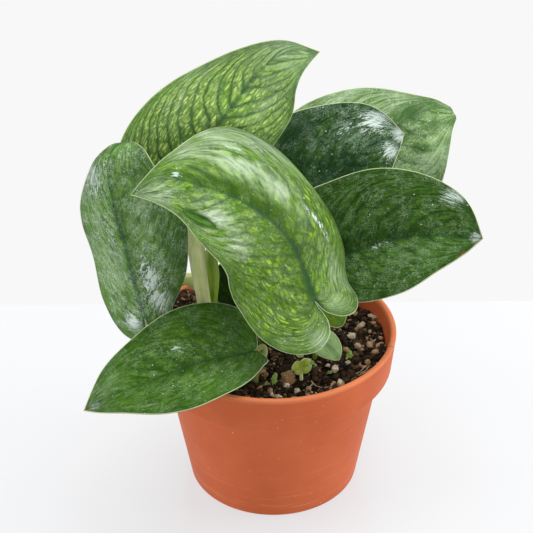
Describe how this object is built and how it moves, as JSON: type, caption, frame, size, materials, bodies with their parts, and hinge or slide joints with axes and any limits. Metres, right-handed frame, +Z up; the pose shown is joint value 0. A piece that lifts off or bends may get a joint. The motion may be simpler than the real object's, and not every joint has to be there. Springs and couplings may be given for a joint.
{
  "type": "satin pothos",
  "caption": "Potted foliage plant with large heart-shaped satin leaves on short stalks, rooted in dark soil in a tapered round pot with a banded rim.",
  "frame": {"origin": "on the table at the middle of the pot's flat base", "axes": "+Z up; -Y is the side the picture was taken from; +X is to the right in the picture"},
  "size_m": [0.1839, 0.1504, 0.2242],
  "materials": {
    "pot": "matte terracotta, faint pale dust and scratches",
    "soil": "dark peat and bark with pale perlite",
    "front": "satin leaf with silvery sheen",
    "top": "satin leaf lit from behind",
    "left": "satin leaf with silvery patches",
    "lower_left": "satin leaf, dark green",
    "right": "satin leaf, dark green",
    "middle": "satin leaf, dark green with pale dust",
    "back_right": "satin leaf, light green",
    "inner": "small dark leaf",
    "small_right": "small yellow-green leaf",
    "small_low": "small green leaf",
    "tucked": "pale underside of a small leaf",
    "sprout": "yellow-green ragged young leaf"
  },
  "bodies": {
    "root": {"pot": "pot", "soil": "soil", "leaf_front": "front", "leaf_top": "top", "leaf_left": "left", "leaf_lower_left": "lower_left", "leaf_right": "right", "leaf_middle": "middle", "leaf_back_right": "back_right", "leaf_inner": "inner", "leaf_small_right": "small_right", "leaf_small_low": "small_low", "leaf_tucked": "tucked", "sprout": "sprout"}
  },
  "joints": []
}
